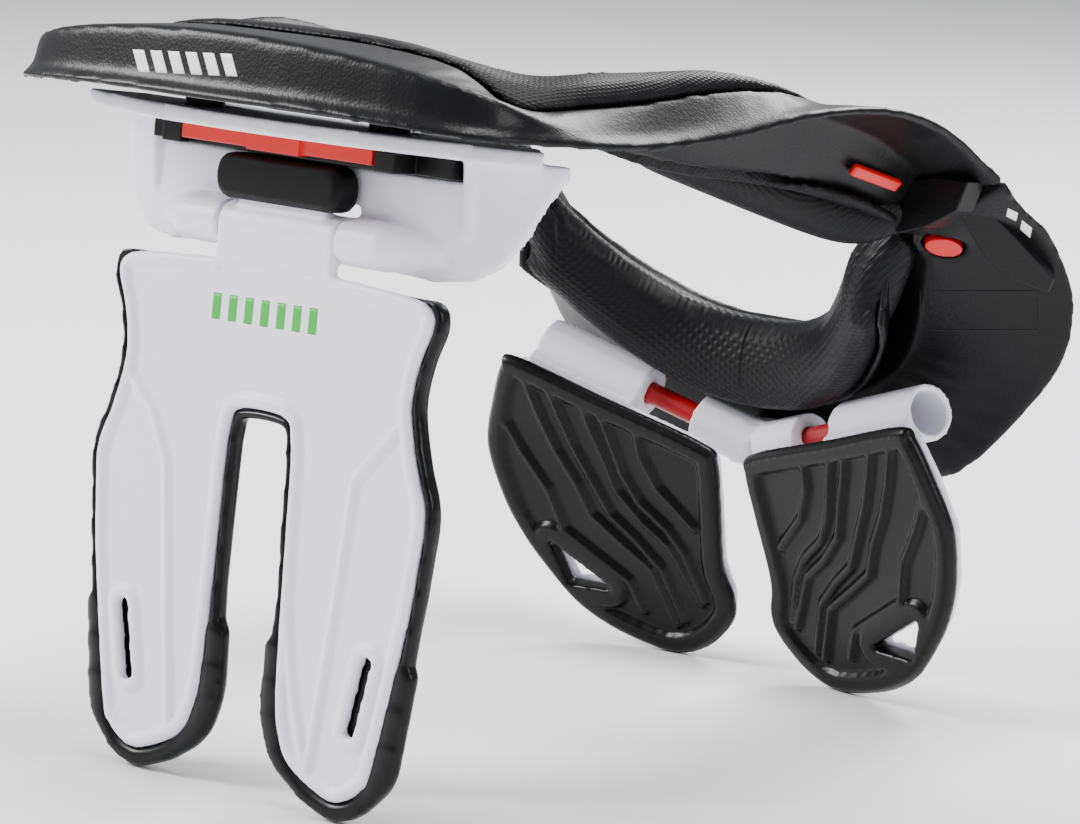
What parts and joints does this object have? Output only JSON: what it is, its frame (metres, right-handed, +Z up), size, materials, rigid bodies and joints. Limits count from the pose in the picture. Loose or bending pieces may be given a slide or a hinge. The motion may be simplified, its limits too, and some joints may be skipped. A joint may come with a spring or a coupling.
{
  "type": "motocross neck brace",
  "caption": "Rigid neck brace with a padded collar ring, folding chest strut, opening rear half and two padded back wings",
  "frame": {"origin": "centre of the bounding box in plan, at its lowest face: the floor that the chest legs and the back wings stand on", "axes": "+X to the wearer's left, +Y from the chest to the back, +Z up"},
  "size_m": [0.2632, 0.302, 0.2492],
  "materials": {
    "shell": "satin moulded nylon with a fine leather grain",
    "foam": "moulded closed-cell foam with an embossed weave",
    "rubber": "matt moulded rubber",
    "white": "satin moulded nylon with a fine grain",
    "red": "satin moulded plastic",
    "steel": "ground pin"
  },
  "bodies": {
    "front_half": {"front_table": "shell", "front_collar": "foam", "slide_rail": "shell", "lock_bar": "red", "size_tab_left": "red", "size_tab_right": "red", "side_pin": "steel"},
    "table": {"lower_table": "white", "chest_pin": "steel"},
    "chest": {"chest_strut": "white", "chest_pad": "foam", "angle_wedge": "rubber"},
    "rear_half": {"rear_shell": "shell", "rear_collar": "foam", "wing_mount": "white", "wing_pin_left": "red", "wing_pin_right": "red"},
    "wing_left": {"wing_frame_left": "white", "wing_pad_left": "foam"},
    "wing_right": {"wing_frame_right": "white", "wing_pad_right": "foam"},
    "button_left": {"release_button_left": "red"},
    "button_right": {"release_button_right": "red"}
  },
  "joints": [
    {"name": "table_slide", "type": "slide", "parent": "front_half", "child": "table", "axis": [0, 0.9953, -0.0964], "range_m": [-0.004, 0.004]},
    {"name": "chest_hinge", "type": "hinge", "parent": "table", "child": "chest", "pos_m": [0, -0.11031, 0.1826], "axis": [1, 0, 0], "range_deg": [0, 25]},
    {"name": "side_hinge", "type": "hinge", "parent": "front_half", "child": "rear_half", "pos_m": [-0.1264, 0.09346, 0.19737], "axis": [0, 0.5811, 0.8138], "range_deg": [0, 50]},
    {"name": "wing_hinge_left", "type": "hinge", "parent": "rear_half", "child": "wing_left", "pos_m": [0.06529, 0.11785, 0.10354], "axis": [0.9327, -0.2049, 0.2968], "range_deg": [-30, 0]},
    {"name": "wing_hinge_right", "type": "hinge", "parent": "rear_half", "child": "wing_right", "pos_m": [-0.06529, 0.11785, 0.10354], "axis": [-0.9327, -0.2049, 0.2968], "range_deg": [0, 30]},
    {"name": "release_left", "type": "slide", "parent": "rear_half", "child": "button_left", "axis": [-0.54, 0.58, 0.61], "range_m": [0, 0.002], "stiffness_N_per_m": 1500},
    {"name": "release_right", "type": "slide", "parent": "rear_half", "child": "button_right", "axis": [0.54, 0.58, 0.61], "range_m": [0, 0.002], "stiffness_N_per_m": 1500}
  ]
}
